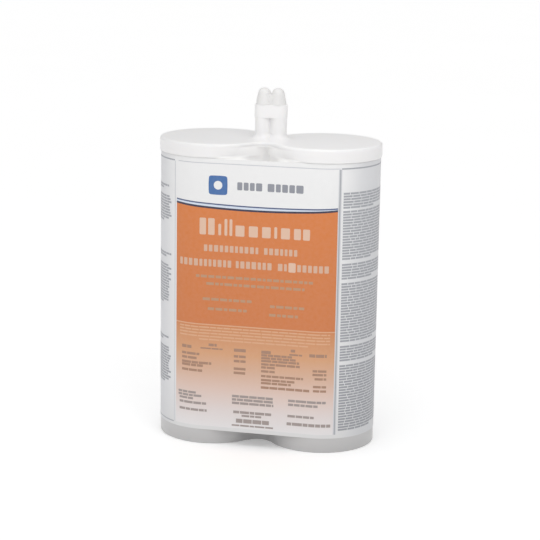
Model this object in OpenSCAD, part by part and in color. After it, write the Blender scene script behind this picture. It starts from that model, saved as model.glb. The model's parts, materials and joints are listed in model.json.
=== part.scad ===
// Twin-barrel sealant cartridge, standing on its open rear end
// Millimetres, +Z up. The printed front faces -Y. The origin is the middle of the rear end.

/* [Barrels] */
// Gap between the outsides of the two barrels
barrel_gap = 1.4; // [0:0.1:10]
// Bore of each barrel
bore_d = 71.4; // [60:0.1:80]
// Wall of each barrel
barrel_wall = 2.3; // [1.6:0.1:3]
// Height from the rear end to the top of the shoulders
shoulder_h = 211.7; // [150:0.1:260]
// Thickness of the shoulder over each barrel
shoulder_t = 3; // [2:0.1:5]
// Height of the wider band round the shoulders
band_h = 9.2; // [6:0.1:14]
// How far the band stands out from the barrels
band_step = 1; // [0.6:0.1:1.6]
// Rounding of the shoulders' top edge
edge_r = 1.8; // [1:0.1:2.4]
// Rounding in front of and behind the bridges between the barrels
valley_r = 10; // [8:0.1:14]
// Rounding in the crease between the barrels
crease_r = 3; // [2:0.1:5]
// Height of the bridge between the barrels at the rear end
bridge_h = 24; // [16:0.5:40]
// Wall of that bridge round its two pockets
web_t = 2.3; // [1.6:0.1:3]
// Depth, front to back, of the solid web between the pockets
middle_web = 14; // [10:0.5:18]
// Widening of the bore at its open rear end
mouth_step = 0.4; // [0.2:0.05:0.6]
// Length of that widening
mouth_l = 3.5; // [2.5:0.1:4.5]
// Bevel round the outside of the rear end
foot_bevel = 0.6; // [0.3:0.1:1]

/* [Neck] */
// Outside diameter of the two tubes of the neck
tube_d = 11.3; // [10.8:0.1:12.5]
// Distance between the axes of the two tubes
tube_pitch = 11; // [10:0.1:11.6]
// Length of the tubes from the shoulders to the collar
tube_l = 14.9; // [10:0.1:24]
// Depth, front to back, of the wall that joins the tubes
tube_web = 4.2; // [3:0.1:9]
// Rounding where the tubes flare into the shoulders
root_r = 4.6; // [3:0.1:6]
// How far the collar stands out from the tubes
collar_step = 0.35; // [0.2:0.05:0.6]
// Height of the collar
collar_h = 8.9; // [6:0.1:14]
// Bevel round the collar's rim
collar_bevel = 0.5; // [0.3:0.1:0.8]
// Bore of each outlet channel
channel_d = 5.6; // [5:0.1:6]

/* [Closure] */
// Height of the closure's crown above the collar
crown_h = 11.3; // [9:0.1:14]
// Distance between the tips of the two lobes
lobe_pitch = 9.6; // [9:0.1:10.4]
// Radius of each lobe's round tip
tip_r = 4.55; // [3.8:0.05:4.6]
// Slope of the lobes' sides, in degrees
lobe_slope = 11; // [6:0.5:12]
// Depth of the notch between the lobes
notch = 4.3; // [2:0.1:6]
// Depth, front to back, of the web that joins the lobes
crown_web = 8.4; // [6:0.1:9]
// Length of the stopper pins
stopper_l = 9; // [5:0.1:12]
// Clearance round each stopper pin
stopper_gap = 0.06; // [0.04:0.01:0.1]

/* [Label] */
// Thickness of the label
label_t = 0.2; // [0.15:0.05:0.4]
// Height of the label's lower edge
label_low = 10.5; // [8:0.1:20]
// Gap between the label's upper edge and the band
label_gap = 0.5; // [0.2:0.1:80]
// Width of the lap where the label's ends meet
label_lap = 14; // [8:0.5:20]

/* [Pistons] */
// Height of each piston
piston_h = 16; // [15:0.1:20]
// Height of the pistons' rear rims above the rear end of the barrels
piston_low = 5.4; // [5:0.1:20]
// Running clearance round each piston
piston_gap = 0.15; // [0.1:0.01:0.3]
// Thickness of each piston's face
face_t = 3; // [2:0.1:4]
// Wall of each piston's skirt
skirt_t = 2.2; // [1.8:0.1:3]
// Height of the thin wiping lip in front of the face
lip_h = 1.2; // [0.8:0.1:2]
// Thickness of the wiping lip
lip_t = 1.3; // [0.8:0.1:2]
// Number of ribs behind each face
rib_count = 8; // [4:1:16]
// Thickness of those ribs
rib_t = 1.6; // [1:0.1:2.5]
// How far the ribs stop short of the rear rim
rib_short = 3; // [1:0.1:4]
// Diameter of each piston's hub
hub_d = 16; // [12:0.1:24]
// Diameter of the vent through the hub
vent_d = 4; // [3:0.1:5]
// Diameter of the vent pin's head
pin_head_d = 7; // [6:0.1:9]
// Thickness of the vent pin's head
pin_head_h = 1.2; // [0.8:0.1:2]
// Thickness of the sealing ring
ring_d = 2.6; // [2:0.1:3]
// Clearance between the ring and the bore
ring_gap = 0.04; // [0.02:0.01:0.1]

/* [Hidden] */
$fn = 96;
cut = 1;
fit = 0.05;

bore_r = bore_d / 2;
barrel_r = bore_r + barrel_wall;
band_r = barrel_r + band_step;
band_low = shoulder_h - band_h;
edge_low = shoulder_h - edge_r;
half_pitch = barrel_r + barrel_gap / 2;
bore_top = shoulder_h - shoulder_t;

// A rounding between the barrels lies against both from outside and runs into their walls a little
bite = 0.12;
function away(r) = sqrt(pow(barrel_r + r - bite, 2) - pow(half_pitch, 2));
function touch_x(r) = half_pitch * r / (barrel_r + r);
function touch_y(r) = away(r) * band_r / (barrel_r + r);

tube_r = tube_d / 2;
collar_r = tube_r + collar_step;
half_tube_pitch = tube_pitch / 2;
collar_low = shoulder_h + tube_l;
collar_top = collar_low + collar_h;
channel_r = channel_d / 2;
// Each channel opens straight into its barrel, just inside the bore's wall
channel_x = half_pitch - bore_r + channel_r + fit;

label_high = band_low - label_gap;

half_lobe_pitch = lobe_pitch / 2;
lobe_touch_z = crown_h - tip_r + tip_r * sin(lobe_slope);
lobe_touch_r = tip_r * cos(lobe_slope);
lobe_foot_r = lobe_touch_r + lobe_touch_z * tan(lobe_slope);
stopper_r = channel_r - stopper_gap;
stopper_low = collar_top - stopper_l;

piston_r = bore_r - piston_gap;
piston_top = piston_low + piston_h;
face_top = piston_top - lip_h;
face_low = face_top - face_t;
skirt_r = piston_r - skirt_t;
rib_low = piston_low + rib_short;
ring_r = ring_d / 2;
ring_z = piston_low + (face_low - piston_low) / 2;
groove_h = ring_d + 2 * fit;
groove_r = bore_r - ring_gap - ring_d - fit;
groove_wall = 1.4; // round the sealing ring's groove

// Shapes that repeat
module at_barrels() {
    for (side = [-1, 1])
        translate([side * half_pitch, 0, 0])
            children();
}

module stadium(half, r, low, high) {
    for (side = [-1, 1])
        translate([side * half, 0, low])
            cylinder(r = r, h = high - low);
    translate([-half, -r, low])
        cube([2 * half, 2 * r, high - low]);
}

module ring(r, z, thick) {
    rotate_extrude()
        translate([r, z])
            circle(r = thick);
}

module barrel_blank() {
    rotate_extrude()
        polygon([[0, 0], [barrel_r - foot_bevel, 0], [barrel_r, foot_bevel], [barrel_r, band_low],
                 [band_r, band_low], [band_r, edge_low], [0, edge_low]]);
    translate([0, 0, edge_low - fit])
        cylinder(r = band_r - edge_r, h = edge_r + fit);
    ring(band_r - edge_r, edge_low, edge_r);
}

// Takes away the round valley, with the same rounded top edge as the barrels
module valley_cut() {
    flare_r = valley_r - band_step + edge_r;
    translate([0, 0, -cut])
        cylinder(r = valley_r, h = band_low + cut);
    cylinder(r = valley_r - band_step, h = shoulder_h + cut);
    difference() {
        translate([0, 0, edge_low])
            cylinder(r = flare_r, h = edge_r + cut);
        ring(flare_r, edge_low, edge_r);
    }
}

module crease_cut() {
    translate([0, 0, -cut])
        cylinder(r = crease_r, h = band_low + cut);
    cylinder(r = crease_r - band_step, h = shoulder_h + cut);
}

module web_block(r, low, high) {
    translate([-touch_x(r), -touch_y(r), low])
        cube([2 * touch_x(r), 2 * touch_y(r), high - low]);
}

// A bridge at the rear end and one under the neck, with a deep crease between them
module web_blank() {
    difference() {
        union() {
            web_block(valley_r, 0, bridge_h);
            web_block(valley_r, bore_top, shoulder_h);
        }
        for (side = [-1, 1])
            translate([0, side * away(valley_r), 0])
                valley_cut();
    }
    difference() {
        web_block(crease_r, bridge_h - fit, bore_top + fit);
        for (side = [-1, 1])
            translate([0, side * away(crease_r), 0])
                crease_cut();
    }
}

// The pockets in the rear bridge, open at the rear end, leave an even wall
module web_pocket() {
    reach = away(valley_r) - valley_r;
    top = bridge_h - web_t;
    difference() {
        translate([-touch_x(valley_r), middle_web / 2, -cut])
            cube([2 * touch_x(valley_r), max(reach - middle_web / 2, fit), top + cut]);
        for (side = [-1, 1])
            translate([side * half_pitch, 0, -2 * cut])
                cylinder(r = barrel_r, h = top + 4 * cut);
        translate([0, away(valley_r), -2 * cut])
            cylinder(r = valley_r + web_t, h = top + 4 * cut);
    }
}

module barrel_bore() {
    translate([0, 0, -cut])
        cylinder(r = bore_r, h = bore_top + cut);
    translate([0, 0, -cut])
        cylinder(r = bore_r + mouth_step, h = mouth_l + cut);
    translate([0, 0, mouth_l])
        cylinder(r1 = bore_r + mouth_step, r2 = bore_r, h = mouth_step * 2);
}

module neck_tube() {
    translate([0, 0, shoulder_h - fit])
        cylinder(r = tube_r, h = tube_l + fit + cut);
    difference() {
        translate([0, 0, shoulder_h - fit])
            cylinder(r = tube_r + root_r, h = root_r + fit);
        ring(tube_r + root_r, shoulder_h + root_r, root_r);
    }
}

module neck() {
    for (side = [-1, 1])
        translate([side * half_tube_pitch, 0, 0])
            neck_tube();
    translate([-half_tube_pitch, -tube_web / 2, shoulder_h - fit])
        cube([tube_pitch, tube_web, tube_l + fit + cut]);
    stadium(half_tube_pitch, collar_r, collar_low, collar_top - collar_bevel);
    stadium(half_tube_pitch, collar_r - collar_bevel, collar_low, collar_top);
}

// Sub-parts
module cartridge_body() {
    color("#e9e9e6")
        difference() {
            union() {
                at_barrels()
                    barrel_blank();
                web_blank();
                neck();
            }
            at_barrels()
                barrel_bore();
            for (side = [0, 1])
                mirror([0, side, 0])
                    web_pocket();
            for (side = [-1, 1])
                translate([side * channel_x, 0, bore_top - cut])
                    cylinder(r = channel_r, h = collar_top - bore_top + 2 * cut);
        }
}

module lobe() {
    cylinder(r1 = lobe_foot_r, r2 = lobe_touch_r, h = lobe_touch_z);
    translate([0, 0, crown_h - tip_r])
        sphere(r = tip_r);
}

module closure_plug() {
    color("#efefec")
        union() {
            for (side = [-1, 1])
                translate([side * half_lobe_pitch, 0, collar_top])
                    lobe();
            translate([-half_lobe_pitch, -crown_web / 2, collar_top])
                cube([lobe_pitch, crown_web, crown_h - notch]);
            for (side = [-1, 1])
                translate([side * channel_x, 0, stopper_low])
                    cylinder(r = stopper_r, h = stopper_l + fit);
        }
}

module label() {
    inside = barrel_r + fit;
    color("#f4f4f2")
        union() {
            difference() {
                stadium(half_pitch, inside + label_t, label_low, label_high);
                stadium(half_pitch, inside, label_low - cut, label_high + cut);
            }
            translate([-label_lap / 2, inside + label_t / 2, label_low])
                cube([label_lap, label_t * 1.5, label_high - label_low]);
        }
}

module piston() {
    difference() {
        union() {
            difference() {
                translate([0, 0, piston_low])
                    cylinder(r = piston_r, h = piston_h);
                translate([0, 0, piston_low - cut])
                    cylinder(r = skirt_r, h = face_low - piston_low + cut);
                translate([0, 0, face_top])
                    cylinder(r = piston_r - lip_t, h = lip_h + cut);
            }
            translate([0, 0, ring_z - groove_h / 2 - groove_wall])
                difference() {
                    cylinder(r = piston_r, h = groove_h + 2 * groove_wall);
                    translate([0, 0, -cut])
                        cylinder(r = groove_r - groove_wall, h = groove_h + 2 * groove_wall + 2 * cut);
                }
            for (turn = [0 : 360 / rib_count : 359])
                rotate([0, 0, turn])
                    translate([0, -rib_t / 2, rib_low])
                        cube([skirt_r + fit, rib_t, face_low - rib_low + fit]);
            translate([0, 0, rib_low])
                cylinder(d = hub_d, h = face_low - rib_low + fit);
        }
        translate([0, 0, ring_z - groove_h / 2])
            difference() {
                cylinder(r = bore_r + cut, h = groove_h);
                translate([0, 0, -cut])
                    cylinder(r = groove_r, h = groove_h + 2 * cut);
            }
        translate([0, 0, piston_low - cut])
            cylinder(d = vent_d, h = piston_h + 2 * cut);
        translate([0, 0, rib_low - cut])
            cylinder(d = pin_head_d + 2 * fit, h = pin_head_h + fit + cut);
    }
}

module piston_ring() {
    translate([0, 0, ring_z])
        rotate_extrude()
            translate([bore_r - ring_gap - ring_r, 0])
                circle(r = ring_r);
}

module vent_pin() {
    translate([0, 0, rib_low])
        cylinder(d = vent_d - 2 * fit, h = face_top - rib_low);
    translate([0, 0, rib_low])
        cylinder(d = pin_head_d, h = pin_head_h);
}

// One barrel's filling, with the column that stands in its channel
module sealant(side) {
    translate([side * half_pitch, 0, 0]) {
        translate([0, 0, piston_top + fit])
            cylinder(r = bore_r - fit, h = bore_top - piston_top - 2 * fit);
        translate([0, 0, face_top + fit])
            cylinder(r = piston_r - lip_t - fit, h = lip_h + 2 * fit);
    }
    translate([side * channel_x, 0, bore_top - cut])
        cylinder(r = channel_r - fit, h = stopper_low - bore_top + cut - fit);
}

module piston_left() {
    color("#d9dad8")
        translate([-half_pitch, 0, 0])
            piston();
}

module piston_right() {
    color("#d9dad8")
        translate([half_pitch, 0, 0])
            piston();
}

module piston_ring_left() {
    color("#333333")
        translate([-half_pitch, 0, 0])
            piston_ring();
}

module piston_ring_right() {
    color("#333333")
        translate([half_pitch, 0, 0])
            piston_ring();
}

module vent_pin_left() {
    color("#c9cac8")
        translate([-half_pitch, 0, 0])
            vent_pin();
}

module vent_pin_right() {
    color("#c9cac8")
        translate([half_pitch, 0, 0])
            vent_pin();
}

module sealant_left() {
    color("#e6e2d8")
        sealant(-1);
}

module sealant_right() {
    color("#d8d4ca")
        sealant(1);
}

cartridge_body();
closure_plug();
label();
piston_left();
piston_right();
piston_ring_left();
piston_ring_right();
vent_pin_left();
vent_pin_right();
sealant_left();
sealant_right();
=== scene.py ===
import json
import math
import random

import bpy
from mathutils import Matrix, Vector


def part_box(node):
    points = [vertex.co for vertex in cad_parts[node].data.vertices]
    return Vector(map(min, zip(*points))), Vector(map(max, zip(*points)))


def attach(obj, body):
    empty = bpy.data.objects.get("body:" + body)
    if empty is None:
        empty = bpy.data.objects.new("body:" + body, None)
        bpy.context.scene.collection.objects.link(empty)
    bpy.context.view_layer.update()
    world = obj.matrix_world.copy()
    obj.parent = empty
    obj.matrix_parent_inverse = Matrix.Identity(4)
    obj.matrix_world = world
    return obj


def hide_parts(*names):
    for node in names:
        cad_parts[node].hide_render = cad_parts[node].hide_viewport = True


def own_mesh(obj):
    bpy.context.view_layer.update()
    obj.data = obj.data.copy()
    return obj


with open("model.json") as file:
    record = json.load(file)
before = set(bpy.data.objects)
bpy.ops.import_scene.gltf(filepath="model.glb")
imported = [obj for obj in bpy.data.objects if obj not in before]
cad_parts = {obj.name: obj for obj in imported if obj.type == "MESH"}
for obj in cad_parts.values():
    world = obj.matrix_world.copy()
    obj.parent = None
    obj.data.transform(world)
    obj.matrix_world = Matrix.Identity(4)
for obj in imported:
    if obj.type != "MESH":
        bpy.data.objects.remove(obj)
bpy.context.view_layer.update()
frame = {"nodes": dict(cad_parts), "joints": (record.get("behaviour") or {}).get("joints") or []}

MM = 0.001


# Sizes in millimetres, taken from the frame where it has them

def reach(node, axis):
    """Lowest and highest place of a CAD node along axis 0, 1 or 2."""
    low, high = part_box(node)
    return round(low[axis] / MM, 3), round(high[axis] / MM, 3)


def joint(name):
    """The frame's joint of this name."""
    return next(j for j in frame["joints"] if j["name"] == name)


SLIT = 0.05  # kept between the filling and the walls
LIP = 1.3  # thickness of each piston's wiping lip
CHANNEL_R = 2.8  # radius of each outlet channel

FILL_INNER, FILL_OUTER = reach("sealant_right", 0)
FILL_LOW, FILL_HIGH = reach("sealant_right", 2)  # from the piston's dish to the stopper in the channel
FILL_R = round((FILL_OUTER - FILL_INNER) / 2, 3)
HALF_PITCH = round((FILL_OUTER + FILL_INNER) / 2, 3)  # half the distance between the barrels' axes
CHANNEL_X = FILL_INNER + CHANNEL_R

PISTON_INNER, PISTON_OUTER = reach("piston_right", 0)
PISTON_TOP = reach("piston_right", 2)[1]  # the wiping lip's edge, at rest
DISH_R = round((PISTON_OUTER - PISTON_INNER) / 2, 3) - LIP

PISTON_SLIDE = joint("piston_right_slide")
BORE_TOP = round(PISTON_SLIDE["deforming_nodes"][0]["fixed_end_z_m"] / MM, 3)

LABEL_R = -reach("label", 1)[0]  # outside of the label round each barrel
LABEL_HIGH = reach("label", 2)[1]
ROUND_LENGTH = math.pi * LABEL_R  # of the label round one barrel, from front to back
ROUND_STEPS = 96  # round a cylinder


def make(name, points, faces, material):
    """A mesh piece from points in millimetres."""
    mesh = bpy.data.meshes.new(name)
    mesh.from_pydata([[c * MM for c in point] for point in points], [], faces)
    mesh.materials.append(material)
    mesh.update()
    piece = bpy.data.objects.new(name, mesh)
    bpy.context.scene.collection.objects.link(piece)
    return piece


def cylinder(name, centre, radius, low, high, material):
    """An upright cylinder from height low to height high."""
    points = [(*centre, low)]
    for height in (low, high):
        for k in range(ROUND_STEPS):
            turn = 2 * math.pi * k / ROUND_STEPS
            points.append((centre[0] + radius * math.cos(turn), centre[1] + radius * math.sin(turn), height))
    points.append((*centre, high))
    lower, upper, last = 1, 1 + ROUND_STEPS, 1 + 2 * ROUND_STEPS
    faces = []
    for k in range(ROUND_STEPS):
        n = (k + 1) % ROUND_STEPS
        faces.append((0, lower + n, lower + k))
        faces.append((lower + k, lower + n, upper + n, upper + k))
        faces.append((last, upper + k, upper + n))
    return make(name, points, faces, material)


# Material nodes

NOISE_MIDDLE = (0.3, 0.7)  # where nearly all of a noise texture's values lie
NOISE_ROUGHNESS = 0.55
MIX_FIRST, MIX_SECOND, MIX_RESULT = 6, 7, 2  # a mix node's colour sockets
WHITE = (1.0, 1.0, 1.0, 1.0)


def linear(colour):
    """Scene values of a colour given as 0 to 255."""
    return [((c / 255 + 0.055) / 1.055) ** 2.4 if c > 10 else c / 255 / 12.92 for c in colour] + [1.0]


class Nodes:
    """The nodes of one material, or of the room, round its surface shader."""

    def __init__(self, tree, kind="BSDF_PRINCIPLED"):
        self.tree = tree
        self.shader = next(node for node in tree.nodes if node.type == kind)

    def add(self, kind, **values):
        node = self.tree.nodes.new(kind)
        for key, value in values.items():
            setattr(node, key, value)
        return node

    def feed(self, socket, value):
        """Links a socket to another one, or sets it to a number or colour."""
        if isinstance(value, bpy.types.NodeSocket):
            self.tree.links.new(value, socket)
        else:
            socket.default_value = value

    def shade(self, **values):
        """Feeds the shader's own sockets. An underscore stands for a space."""
        for name, value in values.items():
            self.feed(self.shader.inputs[name.replace("_", " ")], value)

    def axes(self):
        """The object's own x, y and z, in metres."""
        parts = self.add("ShaderNodeSeparateXYZ")
        self.feed(parts.inputs["Vector"], self.add("ShaderNodeTexCoord").outputs["Object"])
        return parts.outputs["X"], parts.outputs["Y"], parts.outputs["Z"]

    def noise(self, scale, detail=3.0, stretch=None):
        """Noise that sticks to the object."""
        source = self.add("ShaderNodeTexCoord").outputs["Object"]
        if stretch:
            mapping = self.add("ShaderNodeMapping")
            mapping.inputs["Scale"].default_value = stretch
            self.feed(mapping.inputs["Vector"], source)
            source = mapping.outputs["Vector"]
        texture = self.add("ShaderNodeTexNoise")
        texture.inputs["Scale"].default_value = scale
        texture.inputs["Detail"].default_value = detail
        texture.inputs["Roughness"].default_value = NOISE_ROUGHNESS
        self.feed(texture.inputs["Vector"], source)
        return texture.outputs["Fac"]

    def remap(self, source, before, after, **values):
        """The source with the range before turned into the range after."""
        node = self.add("ShaderNodeMapRange", **values)
        node.inputs["From Min"].default_value, node.inputs["From Max"].default_value = before
        node.inputs["To Min"].default_value, node.inputs["To Max"].default_value = after
        self.feed(node.inputs["Value"], source)
        return node.outputs["Result"]

    def spread(self, noise, low, high):
        """Noise between low and high."""
        return self.remap(noise, NOISE_MIDDLE, (low, high))

    def ease(self, source, places, first, last):
        """A smooth change from first to last between two places in millimetres."""
        before = [place * MM for place in places]
        return self.remap(source, before, (first, last), interpolation_type="SMOOTHSTEP")

    def calculate(self, kind, *values):
        """The result of one operation on one or two values."""
        node = self.add("ShaderNodeMath", operation=kind)
        for socket, value in zip(node.inputs, values):
            self.feed(socket, value)
        return node.outputs["Value"]

    def product(self, first, *others):
        for other in others:
            first = self.calculate("MULTIPLY", first, other)
        return first

    def mix(self, share, first, second):
        """A mix of two colours."""
        node = self.add("ShaderNodeMix", data_type="RGBA")
        self.feed(node.inputs["Factor"], share)
        self.feed(node.inputs[MIX_FIRST], first)
        self.feed(node.inputs[MIX_SECOND], second)
        return node.outputs[MIX_RESULT]

    def bump(self, height, strength, depth):
        """Makes the surface uneven, to a depth in millimetres."""
        node = self.add("ShaderNodeBump")
        node.inputs["Strength"].default_value = strength
        node.inputs["Distance"].default_value = depth * MM
        self.feed(node.inputs["Height"], height)
        self.shade(Normal=node.outputs["Normal"])

    def by_height(self, stops):
        """A colour by height in millimetres, from [(height, colour)]."""
        low, high = stops[0][0], stops[-1][0]
        blend = self.add("ShaderNodeValToRGB")
        points = blend.color_ramp.elements
        while len(points) < len(stops):
            points.new(0.5)
        for point, (height, colour) in zip(points, stops):
            point.position = (height - low) / (high - low)
        for point, (height, colour) in zip(points, stops):
            point.color = linear(colour)
        self.feed(blend.inputs["Fac"], self.remap(self.axes()[2], (low * MM, high * MM), (0.0, 1.0)))
        return blend.outputs["Color"]


def start(name):
    """A new node material and its nodes."""
    material = bpy.data.materials.new(name)
    material.use_nodes = True
    return material, Nodes(material.node_tree)


# Materials

PLASTIC_CLOUD = (198, 197, 196)
FIBRE_TONE = (205, 206, 210)
PAPER_SIDE_SHADE = (200, 201, 206)  # painted shade on the label stock towards the label's ends
PAPER_TURN = (55, 73)  # how far to the side it turns halfway to that tone
PAPER_DOTS = (226, 220, 214)  # paper that shows between an ink's dots

# Painted light: emission in the gap between the barrels, standing in for light that comes through the label
# and the milky plastic.
# Above the label it is strongest deep in the gap. Behind the label's upper edge it is strongest just inside
# the label.
GAP_GLOW = 0.18
GAP_SIDE = (31, 37)  # how far to the side it fades away
GAP_FOOT = (188, 196)  # at which height it starts
GAP_FRONT = (25, LABEL_R)  # how far forward it fades away
GAP_TOP = (BORE_TOP, BORE_TOP + 1)  # at which height it fades away
POCKET_GLOW = 0.30
POCKET_BACK = (23, 31)  # how far forward it starts
POCKET_FRONT = (36, LABEL_R)
POCKET_TOP = (LABEL_HIGH, LABEL_HIGH + 2)
GLOW_COLOUR = (1.0, 1.0, 0.98, 1.0)


def paint_gap_glow(nodes):
    """Paints light into the gap between the barrels as emission."""
    x, y, z = nodes.axes()
    aside = nodes.calculate("ABSOLUTE", x)
    depth = nodes.calculate("ABSOLUTE", y)
    place = nodes.product(nodes.ease(aside, GAP_SIDE, 1.0, 0.0), nodes.ease(z, GAP_FOOT, 0.0, 1.0))
    above = nodes.product(nodes.ease(depth, GAP_FRONT, GAP_GLOW, 0.0), nodes.ease(z, GAP_TOP, 1.0, 0.0))
    pocket = nodes.product(nodes.ease(depth, POCKET_FRONT, POCKET_GLOW, 0.0),
                           nodes.ease(depth, POCKET_BACK, 0.0, 1.0), nodes.ease(z, POCKET_TOP, 1.0, 0.0))
    glow = nodes.product(place, nodes.calculate("ADD", above, pocket))
    nodes.shade(Emission_Strength=glow, Emission_Color=GLOW_COLOUR)


def plastic(name, stops, roughness, soft):
    """Milky plastic whose tone changes with height; the moulding's is darker at the foot, partly from the
    empty barrels and partly as painted shade.
    """
    material, nodes = start(name)
    cloud = nodes.spread(nodes.noise(38.0), 0.0, 0.03)
    grain = nodes.noise(900.0, detail=2.0)
    nodes.shade(Base_Color=nodes.mix(cloud, nodes.by_height(stops), linear(PLASTIC_CLOUD)),
                Roughness=nodes.spread(grain, roughness - 0.05, roughness + 0.05), IOR=1.5,
                Subsurface_Weight=soft, Subsurface_Radius=(0.0018, 0.0017, 0.0015), Subsurface_Scale=1.0)
    nodes.bump(grain, strength=0.12, depth=0.08)
    return material


def moulding_with_painted_glow(name, stops, roughness, soft):
    """The cartridge's plastic, with light painted into the gap between its barrels as emission."""
    material = plastic(name, stops, roughness, soft)
    paint_gap_glow(Nodes(material.node_tree))
    return material


def paper(name, stops):
    """Coated label stock, with painted shade that greys it towards its foot and its ends."""
    material, nodes = start(name)
    fibre = nodes.spread(nodes.noise(260.0, detail=4.0), 0.0, 0.05)
    tone = nodes.mix(fibre, nodes.by_height(stops), linear(FIBRE_TONE))
    # Painted shade: the stock greys towards the label's ends.
    aside = nodes.ease(nodes.calculate("ABSOLUTE", nodes.axes()[0]), PAPER_TURN, 0.0, 0.5)
    nodes.shade(Base_Color=nodes.mix(aside, tone, linear(PAPER_SIDE_SHADE)),
                Roughness=nodes.spread(nodes.noise(1400.0, detail=2.0), 0.42, 0.52), Specular_IOR_Level=0.4)
    nodes.bump(nodes.noise(22.0, detail=1.0), strength=0.15, depth=0.4)
    return material


def ink(name, colour):
    """Printing ink, slightly uneven like an offset tint. A list of (height, colour) gives a changing tint."""
    material, nodes = start(name)
    tone = nodes.by_height(colour) if isinstance(colour, list) else linear(colour)
    dots = nodes.spread(nodes.noise(420.0), 0.0, 0.04)
    nodes.shade(Base_Color=nodes.mix(dots, tone, linear(PAPER_DOTS)),
                Roughness=nodes.spread(nodes.noise(800.0), 0.40, 0.50), Specular_IOR_Level=0.4)
    return material


def rubber(name, dark, pale):
    material, nodes = start(name)
    grain = nodes.noise(1200.0)
    nodes.shade(Base_Color=nodes.mix(grain, linear(dark), linear(pale)),
                Roughness=nodes.spread(grain, 0.5, 0.68))
    nodes.bump(grain, strength=0.2, depth=0.1)
    return material


def paste(name, pale, dark):
    """Thick sealant with faint streaks along the barrel."""
    material, nodes = start(name)
    streaks = nodes.noise(70.0, stretch=(1.0, 1.0, 0.12))
    nodes.shade(Base_Color=nodes.mix(streaks, linear(pale), linear(dark)),
                Roughness=nodes.spread(nodes.noise(300.0), 0.3, 0.45),
                Subsurface_Weight=0.1, Subsurface_Radius=(0.002, 0.002, 0.002), Subsurface_Scale=1.0)
    nodes.bump(nodes.noise(120.0), strength=0.25, depth=0.4)
    return material


def light_table(name, pale, dark, glow):
    """A white floor with a little light of its own, which keeps the background pale."""
    material, nodes = start(name)
    cloud = nodes.noise(3.0, detail=2.0)
    nodes.shade(Base_Color=nodes.mix(cloud, linear(pale), linear(dark)),
                Roughness=nodes.spread(cloud, 0.85, 0.95), Specular_IOR_Level=0.1,
                Emission_Color=WHITE, Emission_Strength=glow)
    return material


# Each finish's tones as (height, colour)
# The moulding's tones darken towards the foot, partly from the empty barrels behind the milky plastic and
# partly as painted shade.
MOULDING_TONES_AND_SHADE = [(0, (189, 188, 188)), (10, (198, 197, 197)), (26, (226, 225, 225)), (190, (241, 240, 240)),
                  (208, (242, 241, 241)), (213, (247, 246, 246)), (246, (248, 247, 247))]
CLOSURE_TONES = [(226, (240, 239, 238)), (238, (234, 233, 232))]
PISTON_TONES = [(0, (206, 207, 205)), (220, (212, 213, 211))]
PIN_TONES = [(0, (190, 192, 190)), (220, (196, 197, 195))]
# The label stock's tones darken towards the foot as painted shade.
PAPER_TONES_AND_SHADE = [(10, (222, 222, 222)), (40, (232, 232, 233)), (202, (240, 240, 240))]


def dress_frame():
    """Gives every shown CAD node its material."""
    moulding = moulding_with_painted_glow("moulding_plastic", MOULDING_TONES_AND_SHADE, roughness=0.34, soft=0.12)
    closure = plastic("closure_plastic", CLOSURE_TONES, roughness=0.30, soft=0.12)
    stock = paper("label_stock", PAPER_TONES_AND_SHADE)
    piston = plastic("piston_plastic", PISTON_TONES, roughness=0.42, soft=0.05)
    pin = plastic("pin_plastic", PIN_TONES, roughness=0.40, soft=0.05)
    ring = rubber("ring_rubber", dark=(34, 34, 35), pale=(52, 52, 53))
    finishes = {"cartridge_body": moulding, "closure_plug": closure, "label": stock}
    for side in ("left", "right"):
        finishes.update({"piston_" + side: piston, "piston_ring_" + side: ring, "vent_pin_" + side: pin})
    for node, material in finishes.items():
        part = frame["nodes"][node]
        part.data.materials.clear()
        part.data.materials.append(material)


# Placing print on the label: s is millimetres round its outside from the middle of its front, z is height

FIELD_LIFT = 0.02  # how far the colour field stands above the label
RULE_LIFT = 0.03
PRINT_LIFT = 0.045
ARC_STEP = 1.6  # longest straight piece of print on a round side
CORNER_STEPS = 5  # in each round corner of the large print
WORD_START = 1.0  # the last word starts at least this far before a line's end
WORD_END = 1.6  # a word that would end closer than this to its line's end runs on to it


def outline(s, lift):
    """Where s is on the label's outside, seen from above."""
    side = -1 if s < 0 else 1
    s = abs(s)
    radius = LABEL_R + lift
    if s <= HALF_PITCH:
        x, y = s, -radius
    elif s <= HALF_PITCH + ROUND_LENGTH:
        turn = (s - HALF_PITCH) / LABEL_R
        x, y = HALF_PITCH + radius * math.sin(turn), -radius * math.cos(turn)
    else:
        x, y = 2 * HALF_PITCH + ROUND_LENGTH - s, radius
    return side * x, y


def stops_along(first, last):
    """Places along s, close enough together on the round sides."""
    bends = [-HALF_PITCH - ROUND_LENGTH, -HALF_PITCH, HALF_PITCH, HALF_PITCH + ROUND_LENGTH]
    marks = [first] + [b for b in bends if first < b < last] + [last]
    places = [first]
    for a, b in zip(marks, marks[1:]):
        curved = HALF_PITCH < abs(a + b) / 2 < HALF_PITCH + ROUND_LENGTH
        count = max(1, math.ceil((b - a) / ARC_STEP)) if curved else 1
        places += [a + (b - a) * k / count for k in range(1, count + 1)]
    return places


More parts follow.
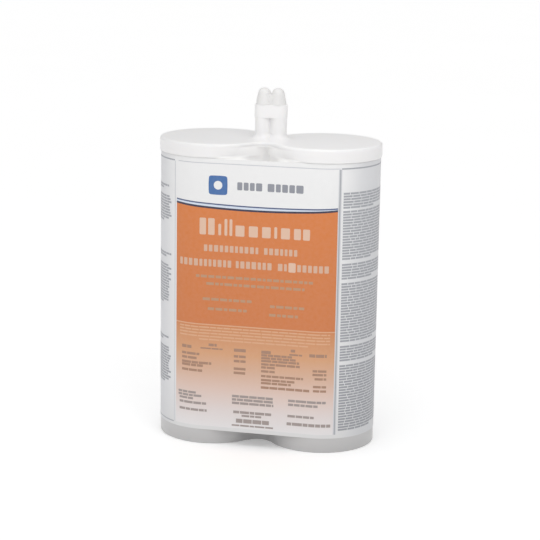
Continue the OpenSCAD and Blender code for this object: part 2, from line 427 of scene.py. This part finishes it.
class Print:
    """Gathers the blocks that are printed in one ink into one mesh."""

    def __init__(self, lift=PRINT_LIFT):
        self.points, self.faces, self.lift = [], [], lift

    def band(self, places, lows, highs):
        """A strip along s between two heights at each place."""
        base = len(self.points)
        for s, low, high in zip(places, lows, highs):
            x, y = outline(s, self.lift)
            self.points += [(x, y, low), (x, y, high)]
        for k in range(len(places) - 1):
            a = base + 2 * k
            self.faces.append((a, a + 2, a + 3, a + 1))

    def ring(self, rim, hole):
        """A flat shape with a hole. Both outlines are [(s, z)], with the same number of points."""
        base, count = len(self.points), len(rim)
        self.points += [(*outline(s, self.lift), z) for s, z in rim + hole]
        for k in range(count):
            n = (k + 1) % count
            self.faces.append((base + k, base + n, base + count + n, base + count + k))

    def block(self, first, last, middle, height):
        """An upright block from first to last along s."""
        places = stops_along(first, last)
        self.band(places, [middle - height / 2] * len(places), [middle + height / 2] * len(places))

    def rounded(self, first, last, middle, height, corner):
        """A block with round corners."""
        corner = min(corner, height / 2, (last - first) / 2)
        turns = [math.pi / 2 * k / CORNER_STEPS for k in range(CORNER_STEPS + 1)]
        straight = height / 2 - corner
        left = [(first + corner * (1 - math.cos(t)), straight + corner * math.sin(t)) for t in turns]
        right = [(first + last - s, half) for s, half in reversed(left)]
        inner = [(s, height / 2) for s in stops_along(left[-1][0], right[0][0])[1:-1]]
        cuts = left + inner + right
        lows = [middle - half for s, half in cuts]
        highs = [middle + half for s, half in cuts]
        self.band([s for s, half in cuts], lows, highs)

    def letters(self, first, last, middle, height, seed, width, gap, corner):
        """A word of large print as a row of round-cornered blocks."""
        pick = random.Random(seed)
        count = round((last - first + gap) / (sum(width) / 2 + gap))
        widths = [pick.uniform(*width) for k in range(count)]
        stretch = (last - first - gap * (count - 1)) / sum(widths)
        s = first
        for each in widths:
            self.rounded(s, s + each * stretch, middle, height, corner)
            s += each * stretch + gap

    def line(self, first, last, middle, height, seed, word, gap):
        """A line of print as a row of blocks, each standing for a word."""
        pick = random.Random(seed)
        s = first
        while s < last - WORD_START:
            end = min(s + pick.uniform(*word), last)
            if last - end < WORD_END:
                end = last
            self.block(s, end, middle, height)
            s = end + gap

    def piece(self, name, material):
        made = make(name, self.points, self.faces, material)
        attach(made, "cartridge")


# The colour field on the label's front, and the double rule over it

FIELD_LEFT, FIELD_RIGHT = -58.4, 55.3
FIELD_LOW = 13.2
FIELD_STEPS = 90
RULE_STEPS = 60
DARK_RULE = (-0.7, 0.65)  # its edges, from the field's upper edge
BLUE_RULE = (-0.4, 0.5)  # its edges, from the upper edge of the pale strip over the field
FIELD_TONES = [(13, (231, 229, 230)), (26, (226, 216, 214)), (42, (223, 196, 183)), (54, (217, 178, 153)),
               (66, (216, 163, 124)), (84, (210, 142, 95)), (87, (209, 125, 73)), (168, (217, 127, 67))]


def bend(s, low_s, left, middle, right):
    """Height at s of a shallow curve with these heights at the field's left edge, low_s and right edge."""
    t = (s - FIELD_LEFT) / (FIELD_RIGHT - FIELD_LEFT)
    m = (low_s - FIELD_LEFT) / (FIELD_RIGHT - FIELD_LEFT)
    lean = ((middle - left) - (right - left) * m) / (m * (m - 1))
    return left + (right - left) * t + lean * t * (t - 1)


def rule_low(s):
    return bend(s, -10, 170.2, 167.6, 170.2)


def rule_high(s):
    return bend(s, -20, 172.4, 170.4, 171.6)


def across_field(steps):
    return [FIELD_LEFT + (FIELD_RIGHT - FIELD_LEFT) * k / steps for k in range(steps + 1)]


def print_field():
    places = across_field(FIELD_STEPS)
    field = Print(FIELD_LIFT)
    field.band(places, [FIELD_LOW] * len(places), [rule_low(s) for s in places])
    field.piece("label_field", ink("ink_field", FIELD_TONES))


def print_rules():
    places = across_field(RULE_STEPS)
    pale = Print(RULE_LIFT)
    pale.band(places, [rule_low(s) for s in places], [rule_high(s) for s in places])
    pale.piece("label_rule_gap", ink("ink_sky", (214, 224, 238)))
    dark = Print()
    dark.band(places, *[[rule_low(s) + edge for s in places] for edge in DARK_RULE])
    dark.piece("label_rule_dark", ink("ink_slate", (54, 52, 74)))
    blue = Print()
    blue.band(places, *[[rule_high(s) + edge for s in places] for edge in BLUE_RULE])
    blue.piece("label_rule_blue", ink("ink_blue", (78, 92, 132)))


# The large print on the field

# One block for each letter or half of a wide one, and last the large letter in the lowest line, as first,
# last, middle height, height
TITLE_BLOCKS = [(-40.1, -35.5, 155.2, 11.6), (-34.1, -29.5, 155.2, 11.6), (-26.9, -24.9, 153.4, 8.0),
                (-22.6, -20.6, 155.2, 11.6), (-19.1, -17.1, 155.2, 11.6), (-14.9, -8.6, 153.2, 7.6),
                (-5.6, 0.7, 153.2, 7.6), (3.6, 9.6, 153.2, 7.6), (12.1, 14.1, 153.4, 8.0),
                (16.7, 22.9, 153.2, 7.6), (25.7, 30.5, 153.2, 7.6), (31.9, 36.7, 153.2, 7.6),
                (22.3, 27.3, 130.0, 6.6)]
# Words of the two lines below the title: first, last, middle height, height, seed
SUBTITLE_WORDS = [(-36.9, 1.2, 140.2, 4.6, 11), (5.2, 28.2, 140.2, 4.6, 12), (-55.0, -17.6, 129.8, 5.0, 13),
                  (-14.4, 10.6, 129.8, 5.0, 14), (15.0, 21.2, 129.8, 5.0, 15), (28.4, 50.0, 129.8, 5.0, 16)]
# Short lines below them: first, last, middle height, seed
SMALL_LINES = [(-42.5, 39.4, 120.3, 21), (-35.0, 33.8, 115.3, 22), (-37.5, -3.0, 104.4, 23),
               (-33.8, -6.3, 97.6, 24), (10.0, 33.8, 102.0, 25), (9.4, 31.3, 96.0, 26)]
SMALL_HEIGHT = 1.9
# Fine lines under the pale rule, in the same order
FINE_LINES = [(-55, 52, 84.2, 31), (-55, 52, 82.1, 32), (-55, 52, 80.0, 33), (-55, 52, 77.8, 34),
              (-40, 37, 75.6, 35)]
FINE_HEIGHT = 0.95
PALE_RULE = (FIELD_LEFT, FIELD_RIGHT, 86.2, 0.8)


def print_titles():
    bold = Print()
    for first, last, middle, height in TITLE_BLOCKS:
        bold.rounded(first, last, middle, height, corner=0.8)
    bold.piece("label_title", ink("ink_title", (226, 190, 166)))
    light = Print()
    for first, last, middle, height, seed in SUBTITLE_WORDS:
        light.letters(first, last, middle, height, seed, width=(1.8, 3.0), gap=1.1, corner=0.5)
    light.piece("label_subtitle", ink("ink_subtitle", (216, 177, 152)))
    small = Print()
    for first, last, middle, seed in SMALL_LINES:
        small.line(first, last, middle, SMALL_HEIGHT, seed, word=(2.0, 5.4), gap=1.0)
    small.piece("label_small_pale", ink("ink_small_pale", (190, 148, 116)))
    fine = Print()
    fine.block(*PALE_RULE)
    for first, last, middle, seed in FINE_LINES:
        fine.line(first, last, middle, FINE_HEIGHT, seed, word=(3.6, 9.0), gap=0.5)
    fine.piece("label_fine_pale", ink("ink_fine_pale", (222, 172, 136)))


# The small print of the two tables and the foot

# The tables' heads, and then their four columns: first, last, middle height, height of the small letters
TABLE_LINES = [(-33, -27.3, 71.8, 1.3), (25, 28, 71.8, 1.3),
               (-53, -45.5, 69.4, 1.5), (-38.8, -23, 69.2, 0.7), (-15, -6.6, 69.4, 1.5),
               (4.4, 11, 69.4, 1.5), (24, 33, 69.0, 0.8), (38, 50, 69.4, 1.5),
               (-53, -39.6, 64.6, 1.2), (-53, -41.6, 61.6, 1.2), (-53, -31, 58.4, 1.2),
               (-53, -37, 56.4, 1.2), (-53, -37.5, 52.8, 1.2),
               (-15, -6.6, 65.0, 1.2), (-15, -6.6, 61.6, 1.2), (-15, -6.6, 56.2, 1.2), (-15, -6.8, 53.2, 1.2),
               (4.4, 26, 67.2, 1.1), (4.4, 28.5, 65.2, 1.1), (4.4, 31, 63.2, 1.1), (4.4, 31.5, 60.8, 1.1),
               (4.4, 14, 58.6, 1.1), (4.4, 14, 55.8, 1.1), (4.4, 34, 52.4, 1.1), (4.4, 28, 49.6, 1.1),
               (4.4, 25.5, 47.4, 1.1), (4.4, 38.5, 44.2, 1.2),
               (40.5, 50, 58.6, 1.1), (40.5, 50, 56.0, 1.1), (42, 50, 53.0, 1.1), (41, 50, 47.4, 1.1),
               (41, 50, 44.4, 1.1)]
# The foot's three columns, in the same order
FOOT_LINES = [(-56, -42, 36.6, 1.1), (-56, -38, 34.4, 1.1), (-55, -44, 32.2, 1.1), (-55, -34.5, 29.2, 1.2),
              (-55, -34, 24.2, 1.2),
              (-16, 13, 36.4, 1.2), (-16, 13, 34.0, 1.2), (-16, 13.5, 31.5, 1.2), (-15, 12, 25.0, 1.3),
              (-9, 5, 22.6, 1.0), (-13, 10.5, 18.8, 2.0), (-16, 13.5, 15.4, 0.8),
              (23.8, 50, 36.2, 1.2), (23.8, 44.5, 33.4, 1.2), (23.5, 42, 25.2, 1.2), (23, 53.5, 19.6, 1.5)]
TALL = 1.45  # a word's height with its tall letters, to that of its small ones
TABLE_SEED, FOOT_SEED = 100, 200


def print_lines(name, lines, seed, material):
    sheet = Print()
    for k, (first, last, middle, height) in enumerate(lines):
        sheet.line(first, last, middle, height * TALL, seed + k, word=(3.0, 7.5), gap=0.5)
    sheet.piece(name, material)


def print_tables():
    print_lines("label_table_print", TABLE_LINES, TABLE_SEED, ink("ink_brown", (170, 133, 111)))
    print_lines("label_foot_print", FOOT_LINES, FOOT_SEED, ink("ink_foot", (162, 151, 147)))


# The lines that frame the front and run along the label's edges round the sides

LEFT_UPRIGHT = (-60.3, -59.8)
RIGHT_UPRIGHT = (56.1, 56.9)
SOFT_EDGE = 0.7  # of paler ink, on both sides of the right upright
FRAME_LOW, FRAME_HIGH = FIELD_LOW, 198.2  # ends of the uprights
# Middle height and height of the line along the front's top, and of those along the sides' top and foot
FRONT_LINE = (198.7, 0.5)
SIDE_LINE = (198.7, 0.9)
FOOT_LINE = (12.8, 0.7)
FRONT_LEFT, FRONT_RIGHT = -57.0, 56.4
LEFT_SIDE, RIGHT_SIDE = -60.6, 57.4  # where the lines of the sides start
BACK = 160.0  # how far round the sides they go


def upright(sheet, first, last):
    """A line from the frame's foot to its top."""
    sheet.block(first, last, (FRAME_LOW + FRAME_HIGH) / 2, FRAME_HIGH - FRAME_LOW)


def print_frame():
    thin = Print()
    thin.block(FRONT_LEFT, FRONT_RIGHT, *FRONT_LINE)
    upright(thin, *LEFT_UPRIGHT)
    thin.piece("label_frame_thin", ink("ink_frame_thin", (204, 205, 211)))
    soft = Print()
    upright(soft, RIGHT_UPRIGHT[0] - SOFT_EDGE, RIGHT_UPRIGHT[0])
    upright(soft, RIGHT_UPRIGHT[1], RIGHT_UPRIGHT[1] + SOFT_EDGE)
    soft.piece("label_frame_soft", ink("ink_frame_soft", (209, 210, 214)))
    firm = Print()
    upright(firm, *RIGHT_UPRIGHT)
    firm.block(RIGHT_SIDE, BACK, *SIDE_LINE)
    firm.block(-BACK, LEFT_SIDE, *SIDE_LINE)
    firm.block(-BACK, LEFT_SIDE, *FOOT_LINE)
    firm.piece("label_frame_firm", ink("ink_frame_firm", (168, 170, 176)))


# A plain mark, a rounded square with a round hole, and bars beside it

MARK_PLACE = (-27.4, 183.9)
MARK_REACH = 6.6  # from its middle to each side
MARK_CORNER = 2.2
MARK_HOLE = 3.0
MARK_SQUARE = 1.6  # how fast its outline runs out to the corners
MARK_STEPS = 48
BAR_MIDDLE, BAR_HEIGHT = 184.0, 5.4
# The rows of bars: first, last, seed, narrowest and widest bar
BAR_ROWS = [(-14.0, 3.2, 41, (3.2, 4.6)), (7.0, 31.6, 42, (2.8, 4.6))]


def mark_outlines():
    """The outlines of the mark and of its hole, as (s, z)."""
    flat = MARK_REACH - MARK_CORNER
    rim, hole = [], []
    for k in range(MARK_STEPS):
        turn = 2 * math.pi * (k + 0.5) / MARK_STEPS
        way = (math.cos(turn), math.sin(turn))
        square = [max(-flat, min(flat, w * MARK_REACH * MARK_SQUARE)) for w in way]
        rim.append([m + q + MARK_CORNER * w for m, q, w in zip(MARK_PLACE, square, way)])
        hole.append([m + MARK_HOLE * w for m, w in zip(MARK_PLACE, way)])
    return rim, hole


def print_mark():
    mark = Print()
    mark.ring(*mark_outlines())
    mark.piece("label_mark", ink("ink_mark", (70, 112, 170)))
    bars = Print()
    for first, last, seed, width in BAR_ROWS:
        bars.letters(first, last, BAR_MIDDLE, BAR_HEIGHT, seed, width, gap=1.0, corner=0.7)
    bars.piece("label_name_bars", ink("ink_name", (146, 149, 158)))


# The small print round the sides and the back, in columns of blocks

LINE_PITCH = 1.9
LINE_HEIGHT = 1.3
RAGGED = 1.6  # how far before a column's edge its lines may end
LAST_LINE = (0.45, 0.8)  # share of the column that a block's last line takes
SIDE_SEED = 300
SEED_STEP = 100  # between the seeds of two blocks' lines
# Columns as first and last s, and their blocks as the heights of the first and last lines
RIGHT_COLUMNS = [(59.0, 101.0), (104.5, 145.0), (149.0, 188.0)]
RIGHT_BLOCKS = [(181.8, 172.3), (169.4, 137.1), (133.0, 123.5), (119.6, 79.7), (75.6, 66.1), (62.0, 16.4)]
LEFT_COLUMNS = [(-99.0, -63.2), (-143.0, -102.0), (-188.0, -147.0)]
LEFT_BLOCKS = [(179.8, 178.0), (172.4, 155.3), (132.0, 130.1), (123.6, 97.0), (72.0, 70.1), (64.6, 39.9)]
LEFT_SHORT = 4.0  # how much further in the lines of the left columns may end
# The small print's ink darkens towards the foot as painted shade.
SIDE_INK_AND_SHADE = [(10, (155, 157, 163)), (90, (165, 167, 173)), (190, (169, 171, 177))]


def paragraph(sheet, first, last, high, low, seed, short):
    """Lines of small print from high to low. Each ends up to short further in, and the last is shorter."""
    count = max(1, round((high - low) / LINE_PITCH) + 1)
    pick = random.Random(seed)
    for k in range(count):
        end = last - pick.uniform(0, RAGGED) - short * pick.random()
        if k == count - 1:
            end = first + (last - first) * pick.uniform(*LAST_LINE)
        sheet.line(first, end, high - k * LINE_PITCH, LINE_HEIGHT, seed * SEED_STEP + k,
                   word=(3.0, 8.5), gap=0.5)


def print_sides():
    grey = Print()
    seed = SIDE_SEED
    sides = ((RIGHT_COLUMNS, RIGHT_BLOCKS, 0.0), (LEFT_COLUMNS, LEFT_BLOCKS, LEFT_SHORT))
    for columns, blocks, short in sides:
        for first, last in columns:
            for high, low in blocks:
                seed += 1
                paragraph(grey, first, last, high, low, seed, short)
    grey.piece("label_small_print", ink("ink_small_print", SIDE_INK_AND_SHADE))


# The filling

def fill_barrel(side, name, material):
    """The filling of one barrel: a column in the barrel, a dish that moves with its piston, and what stands
    in its outlet channel.
    """
    centre = (side * HALF_PITCH, 0)
    column = cylinder("sealant_fill_" + name, centre, FILL_R, PISTON_TOP + SLIT, BORE_TOP - SLIT, material)
    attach(column, "cartridge")
    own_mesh(column)
    dish = cylinder("sealant_dish_" + name, centre, DISH_R - SLIT, FILL_LOW, PISTON_TOP, material)
    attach(dish, "follower_" + name)
    stem = cylinder("sealant_stem_" + name, (side * CHANNEL_X, 0), CHANNEL_R - SLIT,
                    BORE_TOP - SLIT, FILL_HIGH, material)
    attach(stem, "cartridge")
    for piece in (column, dish, stem):
        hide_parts("sealant_" + name)


# The studio, with a pale floor, a soft white room and a soft box close in front of the shoulders

FLOOR_REACH = 20000
FLOOR_GLOW = 0.225
ROOM_EVEN = 0.29  # the part of the room's light that is the same all round
# Wide soft patches of light, as (direction, brightness)
ROOM_PATCHES = [((0, -1, 0.15), 0.08), ((0, 0, 1), 0.55), ((0, -0.7, 0.7), 0.60), ((-0.7, -0.2, 0.7), 0.29),
                ((0.7, -0.2, 0.7), 0.08), ((0, 0.7, 0.7), 0.43)]
ROOM_FALL = 4  # how fast each patch fades away from its middle
# The soft box's place, aim and size in metres, and its power in watts
KEY_PLACE = (0.10, -0.19, 0.41)
KEY_AIM = (0, 0, 0.18)
KEY_SIZE = 0.22
KEY_POWER = 0.19

# The camera stands where the photo's perspective puts it
CAMERA_SIDE = math.radians(12.55)
CAMERA_LIFT = math.radians(12.82)
CAMERA_ROLL = math.radians(0.934)
CAMERA_FAR = 1253.5
CAMERA_LENS = 118.87
SENSOR = 36.0  # its width
AIM_HEIGHT = 105  # the camera aims near this height on the middle axis
AIM_RIGHT, AIM_UP = 0.993, 13.241  # and this far right of it and above it, as it sees them


def build_floor():
    corners = [(-1, -1), (1, -1), (1, 1), (-1, 1)]
    floor = make("studio_floor", [(x * FLOOR_REACH, y * FLOOR_REACH, 0) for x, y in corners], [(0, 1, 2, 3)],
                 light_table("floor_white", pale=(252, 252, 252), dark=(249, 249, 249), glow=FLOOR_GLOW))


def build_room():
    """Soft white light from a room of wide bright patches."""
    world = bpy.data.worlds.new("studio")
    bpy.context.scene.world = world
    world.use_nodes = True
    nodes = Nodes(world.node_tree, "BACKGROUND")
    way = nodes.add("ShaderNodeTexCoord").outputs["Generated"]
    total = ROOM_EVEN
    for direction, brightness in ROOM_PATCHES:
        facing = nodes.add("ShaderNodeVectorMath", operation="DOT_PRODUCT")
        nodes.feed(facing.inputs[0], way)
        nodes.feed(facing.inputs[1], Vector(direction).normalized())
        patch = nodes.calculate("POWER", nodes.calculate("MAXIMUM", facing.outputs["Value"], 0.0), ROOM_FALL)
        total = nodes.calculate("ADD", nodes.product(patch, brightness), total)
    nodes.shade(Strength=total, Color=WHITE)


def build_key():
    lamp = bpy.data.lights.new("key", "AREA")
    lamp.shape = "DISK"
    lamp.size = KEY_SIZE
    lamp.energy = KEY_POWER
    light = bpy.data.objects.new("key", lamp)
    bpy.context.scene.collection.objects.link(light)
    light.location = KEY_PLACE
    light.rotation_euler = (Vector(KEY_AIM) - Vector(KEY_PLACE)).to_track_quat("-Z", "Y").to_euler()


def build_camera():
    level = math.cos(CAMERA_LIFT)
    back = Vector((math.sin(CAMERA_SIDE) * level, -math.cos(CAMERA_SIDE) * level, math.sin(CAMERA_LIFT)))
    right = Vector((math.cos(CAMERA_SIDE), math.sin(CAMERA_SIDE), 0))
    up = back.cross(right)
    target = Vector((0, 0, AIM_HEIGHT)) + AIM_RIGHT * right + AIM_UP * up
    across = right * math.cos(CAMERA_ROLL) + up * math.sin(CAMERA_ROLL)
    upward = up * math.cos(CAMERA_ROLL) - right * math.sin(CAMERA_ROLL)
    lens = bpy.data.cameras.new("camera")
    lens.lens = CAMERA_LENS
    lens.sensor_width = SENSOR
    camera = bpy.data.objects.new("camera", lens)
    bpy.context.scene.collection.objects.link(camera)
    turned = Matrix((across, upward, back)).transposed().to_4x4()
    camera.matrix_world = Matrix.Translation((target + CAMERA_FAR * back) * MM) @ turned
    bpy.context.scene.camera = camera


dress_frame()
print_field()
print_rules()
print_titles()
print_tables()
print_frame()
print_mark()
print_sides()
fill_barrel(-1, "left", paste("sealant_paste_left", pale=(232, 228, 218), dark=(222, 217, 206)))
fill_barrel(1, "right", paste("sealant_paste_right", pale=(216, 212, 202), dark=(205, 200, 190)))
build_floor()
build_room()
build_key()
build_camera()
bpy.context.scene.view_settings.view_transform = "Standard"
